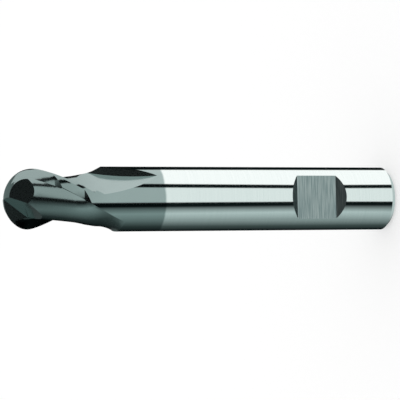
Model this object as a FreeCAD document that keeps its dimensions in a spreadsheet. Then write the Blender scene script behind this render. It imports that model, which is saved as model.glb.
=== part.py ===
import FreeCAD, Part
import math
import os

from FreeCAD import Placement, Rotation, Vector
from Sketcher import Constraint

# Two-flute ball nose end mill, right-hand helix and right-hand cut, on a plain
# cylindrical shank with one clamping flat. It is ground from one rod of carbide.
# The tool stands on its rear face: Z is its axis and the ball is at the top.
# The first cutting edge starts near +X, and the clamping flat faces -Y.

doc = FreeCAD.newDocument("ball_nose_end_mill")

# Driving dimensions, in millimetres and degrees. Heights named "tip" are
# measured down from the tip of the ball, and the others up from the rear face.
DRIVING = {
    "overall_length": (100.0, "rear face to the tip of the ball"),
    "tool_diameter": (16.0, "shank and cutting diameter"),
    "rear_chamfer": (1.2, "chamfer at the rear face"),
    "flat_height": (13.9, "clamping flat to the opposite side of the shank"),
    "flat_length": (10.4, "floor of the clamping flat, along the axis"),
    "flat_from_rear": (21.1, "rear face to the middle of the flat"),
    "flat_wall_angle": (45.0, "slope of the two end walls of the flat"),
    "helix_angle": (30.0, "helix of the cutting edges at the full diameter"),
    "edge_direction": (2.9, "direction of the first cutting edge at the tip"),
    "land_angle": (22.0, "width of a land, as an angle round the axis"),
    "rake_angle": (6.0, "radial rake of the cutting edges"),
    "gullet_fillet": (1.2, "fillet between rake face and tooth back"),
    "back_radius_low": (5.0, "tooth back beside the gullet, from the axis"),
    "back_radius_mid": (6.45, "tooth back in its middle, from the axis"),
    "back_radius_heel": (7.4, "tooth back at the heel, from the axis"),
    "full_depth_tip": (16.5, "tip to the end of the full flute depth"),
    "gullet_runout_arc": (5.4, "arc on which the gullet rises out of the bar"),
    "back_runout_arc": (6.0, "arc on which the tooth back rises out of the bar"),
    "back_runout_lag": (3.6, "length by which the tooth back rises later"),
    "second_back_extra": (3.3, "length by which the back in the second flute runs on further"),
    "heel_runout_length": (14.0, "length over which the heel rises out of the bar"),
    "wheel_radius": (60.0, "grinding wheel that leaves the long run-out"),
    "wheel_width": (8.8, "width of the rim of that wheel"),
    "wheel_trailing": (4.0, "deepest point to the trailing side of the rim"),
    "wheel_bevel": (30.0, "bevel of the leading side of the wheel"),
    "wheel_depth": (5.0, "deepest point of the run-out, from the axis"),
    "wheel_tip": (18.2, "tip to that deepest point"),
    "wheel_direction": (-37.6, "direction from the axis to the wheel centre"),
    "wheel_swivel": (19.1, "swivel of the wheel against the tool axis"),
    "margin_width": (0.7, "narrow primary land behind a cutting edge"),
    "land_relief": (1.4, "shift of the relief arc on the cylindrical land"),
    "land_relief_tip": (18.2, "tip to the end of the land relief"),
    "ball_relief": (2.6, "shift of the relief arc on the ball"),
    "ball_relief_tip": (11.2, "tip to the end of the ball relief"),
    "ramp_slope": (13.0, "slope of the ramps at the end of the reliefs"),
    "gash_angle": (37.5, "bottom of the gash against the tool axis"),
    "gash_direction": (-26.8, "direction in which that bottom runs outward"),
    "gash_web": (0.88, "bottom of the gash from the axis, at its start"),
    "gash_ahead": (0.34, "that start, ahead of the plane through the axis"),
    "gash_tip": (1.25, "tip to that start of the gash"),
    "gash_rake": (23.0, "lean of the wall that carries the cutting edge"),
    "gash_opening": (101.5, "angle between the two walls of the gash"),
    "facet_depth": (1.17, "heel facet below the surface of the ball"),
    "facet_tilt": (34.0, "tilt of the heel facet towards the tip"),
    "facet_direction": (-86.3, "direction that the heel facet of the first tooth faces"),
}
sheet = doc.addObject("Spreadsheet::Sheet", "sizes")
for row, (alias, (value, note)) in enumerate(DRIVING.items(), start=1):
    sheet.set(f"A{row}", note)
    sheet.set(f"B{row}", str(value))
    sheet.setAlias(f"B{row}", alias)
doc.recompute()


def size(alias):
    return float(sheet.get(alias))


LENGTH = size("overall_length")
RADIUS = size("tool_diameter") / 2
TEETH = 2
PITCH = 360.0 / TEETH
HEEL = PITCH - size("land_angle")
TWIST = math.degrees(math.tan(math.radians(size("helix_angle"))) / RADIUS)

# Every cutter reaches this far out from the axis, well clear of the bar.
CLEAR = 2.5 * RADIUS


# The blank: a rod with a ball end and a chamfered rear end, turned about Z.

def origin_plane(body, role):
    return next(f for f in body.Origin.OriginFeatures if f.Role == role)


def new_sketch(body, name, role):
    sketch = body.newObject("Sketcher::SketchObject", name)
    sketch.AttachmentSupport = (origin_plane(body, role), [""])
    sketch.MapMode = "FlatFace"
    return sketch


def bind(sketch, name, constraint, formula):
    index = sketch.addConstraint(constraint)
    sketch.renameConstraint(index, name)
    sketch.setExpression(f"Constraints.{name}", formula)


START, END, CENTRE = range(1, 4)
ORIGIN = (-1, START)

blank = doc.addObject("PartDesign::Body", "blank")
outline = new_sketch(blank, "blank_outline", "XZ_Plane")
chamfer = size("rear_chamfer")
corners = [
    Vector(0, 0, 0),
    Vector(RADIUS - chamfer, 0, 0),
    Vector(RADIUS, chamfer, 0),
    Vector(RADIUS, LENGTH - RADIUS, 0),
]
tip_point = Vector(0, LENGTH, 0)
REAR, BEVEL, SIDE, BALL, AXIS = range(5)
for first, second in zip(corners, corners[1:]):
    outline.addGeometry(Part.LineSegment(first, second))
ball_circle = Part.Circle(Vector(0, LENGTH - RADIUS, 0), Vector(0, 0, 1), RADIUS)
outline.addGeometry(Part.ArcOfCircle(ball_circle, 0, math.pi / 2))
outline.addGeometry(Part.LineSegment(tip_point, corners[0]))
for line, following in ((REAR, BEVEL), (BEVEL, SIDE), (BALL, AXIS), (AXIS, REAR)):
    outline.addConstraint(Constraint("Coincident", line, END, following, START))
outline.addConstraint(Constraint("Tangent", SIDE, END, BALL, START))
outline.addConstraint(Constraint("Coincident", REAR, START, *ORIGIN))
outline.addConstraint(Constraint("Horizontal", REAR))
outline.addConstraint(Constraint("Vertical", SIDE))
outline.addConstraint(Constraint("Vertical", AXIS))
outline.addConstraint(Constraint("PointOnObject", BALL, CENTRE, AXIS))
bind(outline, "bevel_across", Constraint("DistanceX", BEVEL, START, BEVEL, END, chamfer),
     "sizes.rear_chamfer")
bind(outline, "bevel_along", Constraint("DistanceY", BEVEL, START, BEVEL, END, chamfer),
     "sizes.rear_chamfer")
bind(outline, "ball_radius", Constraint("Radius", BALL, RADIUS), "sizes.tool_diameter / 2")
bind(outline, "length", Constraint("DistanceY", AXIS, END, AXIS, START, LENGTH),
     "sizes.overall_length")

turning = blank.newObject("PartDesign::Revolution", "turning")
turning.Profile = outline
turning.ReferenceAxis = (outline, ["V_Axis"])
turning.Angle = 360
doc.recompute()
turned_volume = blank.Shape.Volume

# The clamping flat is milled straight across the shank, with two sloped end walls.
flat_outline = new_sketch(blank, "flat_outline", "YZ_Plane")
floor_depth = size("flat_height") - RADIUS
wall_run = (RADIUS - floor_depth) / math.tan(math.radians(size("flat_wall_angle")))
middle = size("flat_from_rear")
half_floor = size("flat_length") / 2
flat_corners = [
    Vector(-floor_depth, middle - half_floor, 0),
    Vector(-floor_depth, middle + half_floor, 0),
    Vector(-RADIUS, middle + half_floor + wall_run, 0),
    Vector(-RADIUS, middle - half_floor - wall_run, 0),
]
FLOOR, UPPER_WALL, MOUTH, LOWER_WALL = range(4)
for first, second in zip(flat_corners, flat_corners[1:] + flat_corners[:1]):
    flat_outline.addGeometry(Part.LineSegment(first, second))
for line in (FLOOR, UPPER_WALL, MOUTH, LOWER_WALL):
    following = (line + 1) % 4
    flat_outline.addConstraint(Constraint("Coincident", line, END, following, START))
flat_outline.addConstraint(Constraint("Vertical", FLOOR))
flat_outline.addConstraint(Constraint("Vertical", MOUTH))
bind(flat_outline, "floor_from_axis", Constraint("DistanceX", FLOOR, START, *ORIGIN, floor_depth),
     "sizes.flat_height - sizes.tool_diameter / 2")
bind(flat_outline, "mouth_from_axis", Constraint("DistanceX", MOUTH, START, *ORIGIN, RADIUS),
     "sizes.tool_diameter / 2")
bind(flat_outline, "floor_start", Constraint("DistanceY", *ORIGIN, FLOOR, START, middle - half_floor),
     "sizes.flat_from_rear - sizes.flat_length / 2")
bind(flat_outline, "floor_length", Constraint("DistanceY", FLOOR, START, FLOOR, END, 2 * half_floor),
     "sizes.flat_length")
WALL_RUN = "(sizes.tool_diameter - sizes.flat_height) / tan(sizes.flat_wall_angle * 1 deg)"
bind(flat_outline, "upper_run", Constraint("DistanceY", FLOOR, END, MOUTH, START, wall_run), WALL_RUN)
bind(flat_outline, "lower_run", Constraint("DistanceY", MOUTH, END, FLOOR, START, wall_run), WALL_RUN)

flat = blank.newObject("PartDesign::Pocket", "clamping_flat")
flat.Profile = flat_outline
flat.Type = "ThroughAll"
flat.SideType = "Symmetric"
doc.recompute()
assert blank.Shape.Volume < turned_volume, "the clamping flat cut nothing"


# Sections of the grinding cuts. A section lies square to the axis, and its angles
# and radii are counted from the cutting edge, which winds round the axis with the helix.

def polar(radius, angle):
    return Vector(radius * math.cos(math.radians(angle)), radius * math.sin(math.radians(angle)), 0)


def angle_of(point):
    return math.degrees(math.atan2(point.y, point.x))


def at_station(wire, from_tip):
    turn = Rotation(Vector(0, 0, 1), size("edge_direction") - TWIST * from_tip)
    placed = wire.copy()
    placed.Placement = Placement(Vector(0, 0, LENGTH - from_tip), turn)
    return placed


def arc_edge(first, through, last):
    return Part.Arc(first, through, last).toShape()


def line_edge(first, last):
    return Part.LineSegment(first, last).toShape()


def circle_through(first, second, third):
    circle = Part.Arc(first, second, third).toShape().Curve
    return circle.Center, circle.Radius


def stations(first, last, step):
    count = max(2, math.ceil((last - first) / step))
    return [first + (last - first) * index / count for index in range(count + 1)]


# The flute: a straight rake face, a gullet fillet and the convex back of the tooth in
# front, which ends in a small step at that tooth's heel. Past its full depth the back
# rises out of the bar, first at the gullet and last at the heel.

BACK_LOW_ANGLE = 45.0
BACK_MID_ANGLE = 100.0

# The back rises no further than these radii, where it has left the bar.
LOW_OUTSIDE = 1.25 * RADIUS
MID_OUTSIDE = 1.15 * RADIUS
HEEL_OUTSIDE = 1.02 * RADIUS


def back_radii(from_tip, extra):
    past = max(0.0, from_tip - size("full_depth_tip"))
    past_lag = max(0.0, past - size("back_runout_lag") - extra)
    low = size("back_radius_low") + past ** 2 / (2 * size("gullet_runout_arc"))
    mid = size("back_radius_mid") + past_lag ** 2 / (2 * size("back_runout_arc"))
    heel_depth = HEEL_OUTSIDE - size("back_radius_heel")
    heel = size("back_radius_heel") + heel_depth * (past / size("heel_runout_length")) ** 2
    return min(low, LOW_OUTSIDE), min(mid, MID_OUTSIDE), heel


def flute_section(from_tip, extra):
    low, mid, heel = back_radii(from_tip, extra)
    heel_point = polar(heel, HEEL)
    centre, back = circle_through(polar(low, BACK_LOW_ANGLE), polar(mid, BACK_MID_ANGLE), heel_point)
    rake = math.radians(size("rake_angle"))
    inward = Vector(-math.cos(rake), -math.sin(rake), 0)
    ahead = Vector(-math.sin(rake), math.cos(rake), 0)
    edge = Vector(RADIUS, 0, 0)
    fillet = size("gullet_fillet")
    start = edge + ahead * fillet - centre
    along = start.dot(inward)
    reach = math.sqrt(along ** 2 - start.dot(start) + (back + fillet) ** 2)
    fillet_centre = edge + ahead * fillet + inward * (-along - reach)
    to_back = (centre - fillet_centre).normalize()
    on_rake = fillet_centre - ahead * fillet
    on_back = fillet_centre + to_back * fillet
    in_gullet = fillet_centre + (to_back - ahead).normalize() * fillet
    middle_angle = (angle_of(on_back - centre) + angle_of(heel_point - centre)) / 2
    back_middle = centre + polar(back, middle_angle)
    outer_edge = edge - inward * (CLEAR - RADIUS)
    outer_heel = polar(CLEAR, HEEL)
    outer_middle = polar(CLEAR, HEEL / 2)
    return at_station(Part.Wire([
        line_edge(outer_edge, on_rake),
        arc_edge(on_rake, in_gullet, on_back),
        arc_edge(on_back, back_middle, heel_point),
        line_edge(heel_point, outer_heel),
        arc_edge(outer_heel, outer_middle, outer_edge),
    ]), from_tip)


FLUTE_STEP = 1.5


def flute_shape(extra):
    end = size("full_depth_tip") + size("heel_runout_length")
    sections = [flute_section(place, extra) for place in stations(-FLUTE_STEP, end, FLUTE_STEP)]
    return Part.makeLoft(sections, True, False)


# The wheel imprint: the grinding wheel leaves the bar at the end of the full depth, and
# its rim and bevelled side stay there as a long lens-shaped run-out.

def wheel_shape():
    radius, width = size("wheel_radius"), size("wheel_width")
    outward = polar(1, size("wheel_direction"))
    across = polar(1, size("wheel_direction") + 90)
    swivel = math.radians(size("wheel_swivel"))
    spindle = across * math.cos(swivel) - Vector(0, 0, math.sin(swivel))
    deepest = outward * size("wheel_depth") + Vector(0, 0, LENGTH - size("wheel_tip"))
    centre = deepest + outward * radius
    bevel_run = RADIUS * math.tan(math.radians(size("wheel_bevel")))
    trailing = centre - spindle * size("wheel_trailing")
    rim = Part.makeCylinder(radius, width, trailing, spindle)
    bevel = Part.makeCone(radius, radius - RADIUS, bevel_run, trailing + spindle * width, spindle)
    span = 4 * radius
    past_full_depth = Part.makeBox(span, span, span)
    past_full_depth.translate(Vector(-span / 2, -span / 2, LENGTH - size("full_depth_tip") - span))
    return rim.fuse(bevel).common(past_full_depth)


# The reliefs: behind a narrow margin the land falls away on an arc that is shifted
# towards the flute in front. The ball is relieved more than the cylindrical part, and
# each relief ends in a short ramp that faces the tip.

AHEAD_ANGLE = 12.0
PAST_HEEL = 3.0
SPREAD_PER_MM = 1.1
RELIEF_STEP = 1.6
RAMP_SPARE = 0.1


def relief_section(from_tip, edge_radius, shift, lift, past_heel):
    margin = math.degrees(size("margin_width") / edge_radius)
    centre = Vector(0, shift, 0)
    arc_radius = (polar(edge_radius, -margin) - centre).Length + lift
    last_angle = -size("land_angle") - past_heel
    middle_angle = (AHEAD_ANGLE + last_angle) / 2

    def on_arc(angle):
        direction = polar(1, angle)
        along = centre.dot(direction)
        return direction * (along + math.sqrt(arc_radius ** 2 - shift ** 2 + along ** 2))

    first, last = on_arc(AHEAD_ANGLE), on_arc(last_angle)
    outer_first, outer_last = polar(CLEAR, AHEAD_ANGLE), polar(CLEAR, last_angle)
    return at_station(Part.Wire([
        arc_edge(first, on_arc(middle_angle), last),
        line_edge(last, outer_last),
        arc_edge(outer_last, polar(CLEAR, middle_angle), outer_first),
        line_edge(outer_first, first),
    ]), from_tip)


def ramp_shape(from_tip, shift):
    lift = shift * (math.sin(math.radians(size("land_angle"))) + RAMP_SPARE)
    length = lift / math.tan(math.radians(size("ramp_slope")))
    low = relief_section(from_tip, RADIUS, shift, 0.0, PAST_HEEL)
    high = relief_section(from_tip + length, RADIUS, shift, lift, PAST_HEEL)
    return Part.makeLoft([low, high], True, True)


def land_relief_shape():
    first = (RADIUS + size("ball_relief_tip")) / 2
    places = stations(first, size("land_relief_tip"), RELIEF_STEP)
    sections = [relief_section(s, RADIUS, size("land_relief"), 0.0, PAST_HEEL) for s in places]
    return Part.makeLoft(sections, True, False)


FIRST_POLAR = 14.0
POLAR_STEP = 13.0
ABOVE_TIP = 0.1 * RADIUS


def ball_relief_section(from_tip, edge_radius):
    past_heel = PAST_HEEL + SPREAD_PER_MM * (size("ball_relief_tip") - from_tip)
    shift = size("ball_relief") * edge_radius / RADIUS
    return relief_section(from_tip, edge_radius, shift, 0.0, past_heel)


def ball_relief_shape():
    first_radius = RADIUS * math.sin(math.radians(FIRST_POLAR))
    sections = [ball_relief_section(-ABOVE_TIP, first_radius)]
    for polar_angle in stations(FIRST_POLAR, 90.0, POLAR_STEP):
        turn = math.radians(polar_angle)
        sections.append(ball_relief_section(RADIUS * (1 - math.cos(turn)), RADIUS * math.sin(turn)))
    for from_tip in stations(RADIUS, size("ball_relief_tip"), RELIEF_STEP)[1:]:
        sections.append(ball_relief_section(from_tip, RADIUS))
    return Part.makeLoft(sections, True, False)


# The gash: a notch with two flat walls that clears the middle of the ball. One wall
# carries the cutting edge to the centre, the other rises to the heel of the next tooth.

def gash_shape():
    outward = polar(1, size("gash_direction"))
    across = polar(1, size("gash_direction") + 90)
    up = Vector(0, 0, 1)
    tilt = math.radians(size("gash_angle"))
    bottom = outward * math.sin(tilt) - up * math.cos(tilt)
    start = outward * size("gash_web") + across * size("gash_ahead") + up * (LENGTH - size("gash_tip"))
    upright_wall = outward * math.cos(tilt) + up * math.sin(tilt)
    rake_wall = Rotation(bottom, -size("gash_rake")).multVec(upright_wall)
    back_wall = Rotation(bottom, -size("gash_opening")).multVec(rake_wall)
    first = start - bottom * RADIUS
    outline = Part.makePolygon([first, first + rake_wall * CLEAR, first + back_wall * CLEAR, first])
    return Part.Face(outline).extrude(bottom * CLEAR)


# The heel facet: a flat ground on the ball beside the gash, behind the land.

def facet_shape():
    tilt = math.radians(size("facet_tilt"))
    normal = polar(math.cos(tilt), size("facet_direction")) + Vector(0, 0, math.sin(tilt))
    ball_centre = Vector(0, 0, LENGTH - RADIUS)
    foot = ball_centre + normal * (RADIUS - size("facet_depth"))
    return Part.makeCylinder(RADIUS, RADIUS, foot, normal)


# Every cut is made for each tooth, half a turn apart. The back of the tooth runs on
# further in the second flute than in the first.
CUTS = [
    ("flute", [flute_shape(0.0), flute_shape(size("second_back_extra"))]),
    ("wheel_imprint", [wheel_shape()] * TEETH),
    ("land_relief", [land_relief_shape()] * TEETH),
    ("land_ramp", [ramp_shape(size("land_relief_tip"), size("land_relief"))] * TEETH),
    ("ball_relief", [ball_relief_shape()] * TEETH),
    ("ball_ramp", [ramp_shape(size("ball_relief_tip"), size("ball_relief"))] * TEETH),
    ("gash", [gash_shape()] * TEETH),
    ("heel_facet", [facet_shape()] * TEETH),
]
ground = blank
for name, shapes in CUTS:
    for tooth, shape in enumerate(shapes):
        cutter = doc.addObject("Part::Feature", f"{name}_cutter_{tooth + 1}")
        cutter.Shape = shape
        cutter.Placement = Placement(Vector(0, 0, 0), Rotation(Vector(0, 0, 1), PITCH * tooth))
        cut = doc.addObject("Part::Cut", f"{name}_{tooth + 1}")
        cut.Base = ground
        cut.Tool = cutter
        doc.recompute()
        assert cut.Shape.Volume < ground.Shape.Volume, f"{cut.Name} cut nothing"
        ground = cut

ground.Label = "end_mill"
for thing in doc.Objects:
    if "Invalid" in thing.State or "Error" in thing.State:
        raise RuntimeError(f"{thing.Label} failed: {thing.State}")
if ground.Shape.isNull() or not ground.Shape.isValid():
    raise RuntimeError("the end mill has no valid shape")

os.makedirs("parts", exist_ok=True)
ground.Shape.exportStep(os.path.join("parts", f"{ground.Label}.step"))
print("volume", ground.Shape.Volume, "faces", len(ground.Shape.Faces), "solids", len(ground.Shape.Solids))
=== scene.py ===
import math

import bpy
from mathutils import Matrix, Vector


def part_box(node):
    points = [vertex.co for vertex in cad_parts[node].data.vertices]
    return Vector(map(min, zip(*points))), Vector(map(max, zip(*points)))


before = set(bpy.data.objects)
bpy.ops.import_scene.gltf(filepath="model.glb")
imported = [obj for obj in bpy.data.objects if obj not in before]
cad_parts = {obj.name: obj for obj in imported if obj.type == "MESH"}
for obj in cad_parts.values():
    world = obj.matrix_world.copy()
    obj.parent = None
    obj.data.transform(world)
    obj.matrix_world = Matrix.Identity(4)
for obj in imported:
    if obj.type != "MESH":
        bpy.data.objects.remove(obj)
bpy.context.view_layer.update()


# The end mill is ground from one rod of sintered tungsten carbide. The shank is left
# bare and finely ground, so it mirrors its surroundings. The fluted head is coated in
# a vacuum, which leaves it a darker grey and softens what it mirrors.
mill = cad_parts["end_mill"]
MILLIMETRE = 0.001
COATING_END = 61.4 * MILLIMETRE
COATING_FADE = 0.5 * MILLIMETRE
COATING_THIN = 76.0 * MILLIMETRE
COATING_THICK = 88.0 * MILLIMETRE
OUTER_RADIUS = 7.95 * MILLIMETRE
FLUTE_RADIUS = 7.5 * MILLIMETRE
FLUTE_ROUGHNESS = 0.15
GROUND_ROUGHNESS = 0.08
GRINDING_LINE = 0.25 * MILLIMETRE
LINE_ASPECT = 0.02
LINE_DEPTH = 0.0004 * MILLIMETRE
MOTTLE = 4.0 * MILLIMETRE
MOTTLE_SHARE = 0.3


def to_linear(hex_colour):
    channels = [int(hex_colour[i:i + 2], 16) / 255 for i in (1, 3, 5)]
    linear = [c / 12.92 if c <= 0.04045 else ((c + 0.055) / 1.055) ** 2.4 for c in channels]
    return (*linear, 1.0)


def node(owner, kind, settings=None, links=None, stops=()):
    made = owner.node_tree.nodes.new(kind)
    for key, value in (settings or {}).items():
        if isinstance(key, str) and hasattr(made, key):
            setattr(made, key, value)
        else:
            made.inputs[key].default_value = value
    for key, source in (links or {}).items():
        owner.node_tree.links.new(source, made.inputs[key])
    # A new ramp has two stops already, which are the first two here.
    for index, (position, colour) in enumerate(stops):
        elements = made.color_ramp.elements
        element = elements[index] if index < 2 else elements.new(position)
        element.position = position
        element.color = to_linear(colour)
    return made


def new_material(name):
    material = bpy.data.materials.new(name)
    material.use_nodes = True
    material.node_tree.nodes.clear()
    return material


# Ground tungsten carbide, bare on the shank and under a grey coating on the head. The
# grinding lines run round the axis, drawn coarser than the real ones so that they show.
carbide = new_material("ground tungsten carbide, coated head")
place = node(carbide, "ShaderNodeTexCoord").outputs["Object"]
along = node(carbide, "ShaderNodeSeparateXYZ", links={0: place}).outputs["Z"]
mottle = node(carbide, "ShaderNodeTexNoise", {"Scale": 1 / MOTTLE, "Detail": 3.0},
              {"Vector": place})
uneven_edge = node(carbide, "ShaderNodeMath", {"operation": "MULTIPLY_ADD", 1: COATING_FADE},
                   {0: mottle.outputs["Fac"], 2: along})
coated = node(carbide, "ShaderNodeMapRange", {
    "From Min": COATING_END, "From Max": COATING_END + COATING_FADE,
    "To Min": 0.0, "To Max": 1.0,
}, {"Value": uneven_edge.outputs[0]})
line_space = node(carbide, "ShaderNodeVectorMath", {
    "operation": "MULTIPLY",
    1: (LINE_ASPECT / GRINDING_LINE, LINE_ASPECT / GRINDING_LINE, 1 / GRINDING_LINE),
}, {0: place})
lines = node(carbide, "ShaderNodeTexNoise", {"Scale": 1.0, "Detail": 2.0},
             {"Vector": line_space.outputs[0]})
bare_colour = node(carbide, "ShaderNodeValToRGB", links={"Fac": lines.outputs["Fac"]},
                   stops=[(0.3, "#f2faf8"), (0.7, "#f7fefc")])
# The coating is thicker, and so a little darker, towards the tip.
towards_tip = node(carbide, "ShaderNodeMapRange", {
    "From Min": COATING_THIN, "From Max": COATING_THICK,
}, {"Value": along})
thickness = node(carbide, "ShaderNodeMath", {"operation": "MULTIPLY_ADD", 1: MOTTLE_SHARE},
                 {0: mottle.outputs["Fac"], 2: towards_tip.outputs["Result"]})
coat_colour = node(carbide, "ShaderNodeValToRGB", links={"Fac": thickness.outputs[0]},
                   stops=[(0.1, "#a7b7b5"), (1.0, "#93a3a1")])
colour = node(carbide, "ShaderNodeMix", {"data_type": "RGBA"}, {
    "Factor": coated.outputs["Result"], 6: bare_colour.outputs["Color"],
    7: coat_colour.outputs["Color"]})
across = node(carbide, "ShaderNodeVectorMath", {"operation": "MULTIPLY", 1: (1, 1, 0)},
              {0: place})
from_axis = node(carbide, "ShaderNodeVectorMath", {"operation": "LENGTH"},
                 {0: across.outputs[0]})
roughness = node(carbide, "ShaderNodeMapRange", {
    "From Min": FLUTE_RADIUS, "From Max": OUTER_RADIUS,
    "To Min": FLUTE_ROUGHNESS, "To Max": GROUND_ROUGHNESS,
}, {"Value": from_axis.outputs["Value"]})
relief = node(carbide, "ShaderNodeBump", {"Strength": 0.3, "Distance": LINE_DEPTH},
              {"Height": lines.outputs["Fac"]})
surface = node(carbide, "ShaderNodeBsdfPrincipled", {"Metallic": 1.0}, {
    "Base Color": colour.outputs[2], "Roughness": roughness.outputs["Result"],
    "Normal": relief.outputs["Normal"]})
node(carbide, "ShaderNodeOutputMaterial", links={"Surface": surface.outputs["BSDF"]})
mill.data.materials.clear()
mill.data.materials.append(carbide)


# The clamping flat is milled across the shank after grinding and isn't polished. Its
# tool marks run straight across the axis, drawn coarser than the real ones so that they
# show, and the flat looks streaked and duller.
FLAT_ENDS = (13.5 * MILLIMETRE, 28.6 * MILLIMETRE)
FLAT_FLOOR = 5.9 * MILLIMETRE
FLOOR_TOLERANCE = 0.05 * MILLIMETRE
FLOOR_FACING = 0.99
WALL_FACING = 0.5
TOOL_MARK = 0.25 * MILLIMETRE
MARK_ASPECT = 0.04
MARK_DEPTH = 0.004 * MILLIMETRE
milled = new_material("milled tungsten carbide, unpolished")
place = node(milled, "ShaderNodeTexCoord").outputs["Object"]
mark_space = node(milled, "ShaderNodeVectorMath", {
    "operation": "MULTIPLY",
    1: (MARK_ASPECT / TOOL_MARK, MARK_ASPECT / TOOL_MARK, 1 / TOOL_MARK),
}, {0: place})
marks = node(milled, "ShaderNodeTexNoise", {"Scale": 1.0, "Detail": 3.0},
             {"Vector": mark_space.outputs[0]})
mark_colour = node(milled, "ShaderNodeValToRGB", links={"Fac": marks.outputs["Fac"]},
                   stops=[(0.35, "#8fa3a4"), (0.65, "#c4d1cf")])
mark_relief = node(milled, "ShaderNodeBump", {"Strength": 0.5, "Distance": MARK_DEPTH},
                   {"Height": marks.outputs["Fac"]})
surface = node(milled, "ShaderNodeBsdfPrincipled", {"Metallic": 1.0, "Roughness": 0.38}, {
    "Base Color": mark_colour.outputs["Color"], "Normal": mark_relief.outputs["Normal"]})
node(milled, "ShaderNodeOutputMaterial", links={"Surface": surface.outputs["BSDF"]})
mill.data.materials.append(milled)
for face in mill.data.polygons:
    on_floor = (face.normal.y < -FLOOR_FACING
                and face.center.y > -FLAT_FLOOR - FLOOR_TOLERANCE)
    on_wall = abs(face.normal.z) > WALL_FACING
    if FLAT_ENDS[0] < face.center.z < FLAT_ENDS[1] and (on_floor or on_wall):
        face.material_index = 1


# The floor is one sheet of white matt paper, pressed from fine fibre and laid flat. It
# is hidden from the metal, which mirrors the light tent below instead.
PAPER_FIBRE = 1.5 * MILLIMETRE
PAPER_SIZE = 6.0
PAPER_GAP = 0.01 * MILLIMETRE
PAPER_GLOW = 0.48
paper = new_material("white matt paper")
place = node(paper, "ShaderNodeTexCoord").outputs["Object"]
fibre = node(paper, "ShaderNodeTexNoise", {"Scale": 1 / PAPER_FIBRE, "Detail": 2.0},
             {"Vector": place})
paper_colour = node(paper, "ShaderNodeValToRGB", links={"Fac": fibre.outputs["Fac"]},
                    stops=[(0.3, "#bfbfbf"), (0.7, "#c1c1c1")])
sheet = node(paper, "ShaderNodeBsdfDiffuse", links={"Color": paper_colour.outputs["Color"]})
glow = node(paper, "ShaderNodeEmission", {"Color": to_linear("#ffffff"), "Strength": PAPER_GLOW})
both = node(paper, "ShaderNodeAddShader",
            links={0: sheet.outputs["BSDF"], 1: glow.outputs["Emission"]})
node(paper, "ShaderNodeOutputMaterial", links={"Surface": both.outputs["Shader"]})
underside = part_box("end_mill")[0].z
bpy.ops.mesh.primitive_plane_add(size=PAPER_SIZE, location=(0, 0, underside - PAPER_GAP))
floor = bpy.context.object
floor.name = "paper floor"
floor.data.materials.append(paper)
floor.visible_glossy = False


# The light tent round the tool is sewn from white cloth and has black strips hung
# parallel to the tool. It is open and dark past the tip and past the rear end. Only the
# metal mirrors it, and everything else is lit by plain white.
WHITE_CLOTH, PALE_CLOTH, GREY_CLOTH = "#ffffff", "#dfe6e5", "#b0c0bf"
SHADED_CLOTH, DIM_CLOTH, BLACK_STRIP = "#7f8d8c", "#3e4a49", "#0b1414"
# Edges of cloth and strips round the tool, in degrees from +X towards +Y.
TENT = [
    (-180, SHADED_CLOTH), (-145, GREY_CLOTH), (-118, BLACK_STRIP), (-106, BLACK_STRIP),
    (-104, PALE_CLOTH), (-56, PALE_CLOTH), (-54, BLACK_STRIP), (-42, BLACK_STRIP),
    (-40, WHITE_CLOTH), (35, WHITE_CLOTH), (40, BLACK_STRIP), (115, BLACK_STRIP),
    (150, DIM_CLOTH), (180, SHADED_CLOTH),
]
# Each part below has a heading. Its stops say how far a direction points along that
# heading, from -REACH to REACH. The first two parts darken the tent, the others light it.
TIP_SIDE = [(0.35, WHITE_CLOTH), (0.52, "#a0a4a4"), (0.62, "#585c5c"), (0.85, "#181b1b")]
REAR_SIDE = [(0.76, WHITE_CLOTH), (0.86, "#1c2020")]
FLOOR_BEHIND = [(1.02, "#000000"), (1.10, "#b8c4c3")]
WALL_BEHIND = [(0.67, "#000000"), (0.86, "#8c9695")]
REACH = 1.3
tent = bpy.data.worlds.new("light tent")
tent.use_nodes = True
tent.node_tree.nodes.clear()
direction = node(tent, "ShaderNodeTexCoord").outputs["Generated"]
around = node(tent, "ShaderNodeTexGradient", {"gradient_type": "RADIAL"},
              {"Vector": direction})
mirrored = node(tent, "ShaderNodeValToRGB", links={"Fac": around.outputs["Fac"]},
                stops=[(angle / 360 + 0.5, colour) for angle, colour in TENT])
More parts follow.
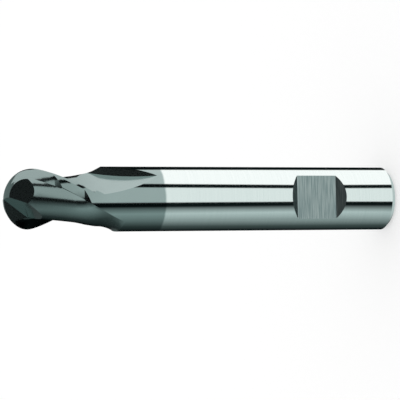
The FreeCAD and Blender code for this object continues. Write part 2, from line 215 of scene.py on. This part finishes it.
for heading, stops, operation in (
    ((-0.33, -0.45, 1), TIP_SIDE, "MULTIPLY"),
    ((-0.3, -0.25, -1), REAR_SIDE, "MULTIPLY"),
    ((0.3, 0.6, -1), FLOOR_BEHIND, "MAXIMUM"),
    ((0, 0.8, 0.6), WALL_BEHIND, "MAXIMUM"),
):
    towards = node(tent, "ShaderNodeVectorMath", {"operation": "DOT_PRODUCT", 1: heading},
                   {0: direction})
    share = node(tent, "ShaderNodeMapRange", {"From Min": -REACH, "From Max": REACH},
                 {"Value": towards.outputs["Value"]})
    end = node(tent, "ShaderNodeValToRGB", links={"Fac": share.outputs["Result"]},
               stops=[(0.5 + reach / (2 * REACH), colour) for reach, colour in stops])
    mirrored = node(tent, "ShaderNodeVectorMath", {"operation": operation},
                    {0: mirrored.outputs[0], 1: end.outputs["Color"]})
tent_light = node(tent, "ShaderNodeBackground", {"Strength": 1.0},
                  {"Color": mirrored.outputs[0]})
plain_light = node(tent, "ShaderNodeBackground",
                   {"Color": to_linear("#ffffff"), "Strength": 1.0})
ray = node(tent, "ShaderNodeLightPath")
either = node(tent, "ShaderNodeMixShader", links={
    0: ray.outputs["Is Glossy Ray"], 1: plain_light.outputs["Background"],
    2: tent_light.outputs["Background"]})
node(tent, "ShaderNodeOutputWorld", links={"Surface": either.outputs["Shader"]})
bpy.context.scene.world = tent
bpy.context.scene.view_settings.view_transform = "Standard"


# The camera stands a little above the middle of the standing tool, on the side of its
# clamping flat. It is turned so that the tool lies across the picture with the ball on
# the left. Its distance and focal length give the perspective of the photograph.
AZIMUTH, ELEVATION, ROLL = math.radians(-4.0), math.radians(18.17), math.radians(1.381)
DISTANCE = 0.4492
FOCAL_LENGTH = 161.86
SENSOR_WIDTH = 36.0
target = Vector((-0.000273, 0.0, 0.05011))
back = Vector((math.sin(AZIMUTH) * math.cos(ELEVATION),
               -math.cos(AZIMUTH) * math.cos(ELEVATION), math.sin(ELEVATION)))
upright = (Vector((1, 0, 0)) - back * back.x).normalized()
sideways = upright.cross(back)
up = upright * math.cos(ROLL) + sideways * math.sin(ROLL)
right = up.cross(back)
lens = bpy.data.cameras.new("camera")
lens.lens = FOCAL_LENGTH
lens.sensor_width = SENSOR_WIDTH
camera = bpy.data.objects.new("camera", lens)
bpy.context.scene.collection.objects.link(camera)
camera.rotation_mode = "QUATERNION"
camera.rotation_quaternion = Matrix((right, up, back)).transposed().to_quaternion()
camera.location = target + back * DISTANCE
bpy.context.scene.camera = camera
